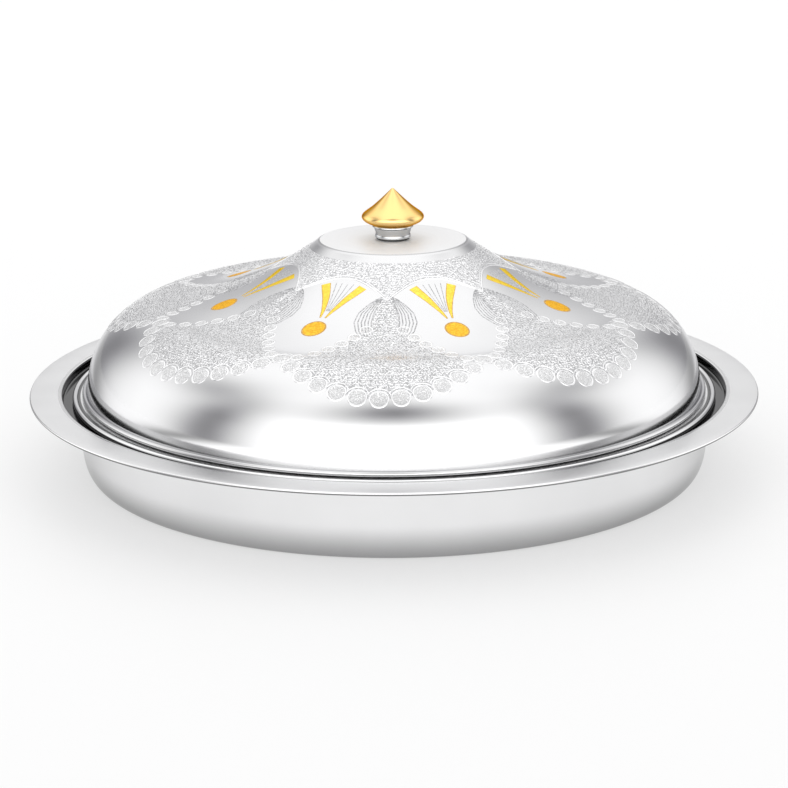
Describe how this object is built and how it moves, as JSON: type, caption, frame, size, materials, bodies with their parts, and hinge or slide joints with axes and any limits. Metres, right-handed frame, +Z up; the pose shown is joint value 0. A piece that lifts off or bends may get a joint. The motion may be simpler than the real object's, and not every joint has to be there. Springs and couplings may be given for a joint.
{
  "type": "chafing dish food warmer",
  "caption": "Round covered serving dish: flanged water dish, hanging food pan with rolled rim, and an engraved dome lid with a turned pointed knob.",
  "frame": {"origin": "centre of the dish's flat underside", "axes": "+Z up along the axis that every piece is turned about; -Y is the front, with an ornament lobe of the lid facing it"},
  "size_m": [0.45, 0.45, 0.172],
  "materials": {
    "dish_steel": "polished to a soft shine",
    "pan_steel": "bright polished",
    "lid_steel": "polished with an etched and part gilded ornament",
    "gold_plate": "polished gold plate",
    "neck_steel": "turned and polished",
    "seal_rubber": "matt",
    "fixing_steel": "plain"
  },
  "bodies": {
    "dish": {"base_dish": "dish_steel"},
    "pan": {"food_pan": "pan_steel"},
    "lid": {"lid_shell": "lid_steel", "knob": "gold_plate", "knob_neck": "neck_steel", "neck_seal": "seal_rubber", "lid_washer": "fixing_steel", "spring_washer": "fixing_steel", "knob_screw": "fixing_steel"}
  },
  "joints": [
    {"name": "food_pan_lift", "type": "slide", "parent": "dish", "child": "pan", "axis": [0, 0, 1], "range_m": [0, 0.2]},
    {"name": "lid_lift", "type": "slide", "parent": "pan", "child": "lid", "axis": [0, 0, 1], "range_m": [0, 0.25]}
  ]
}
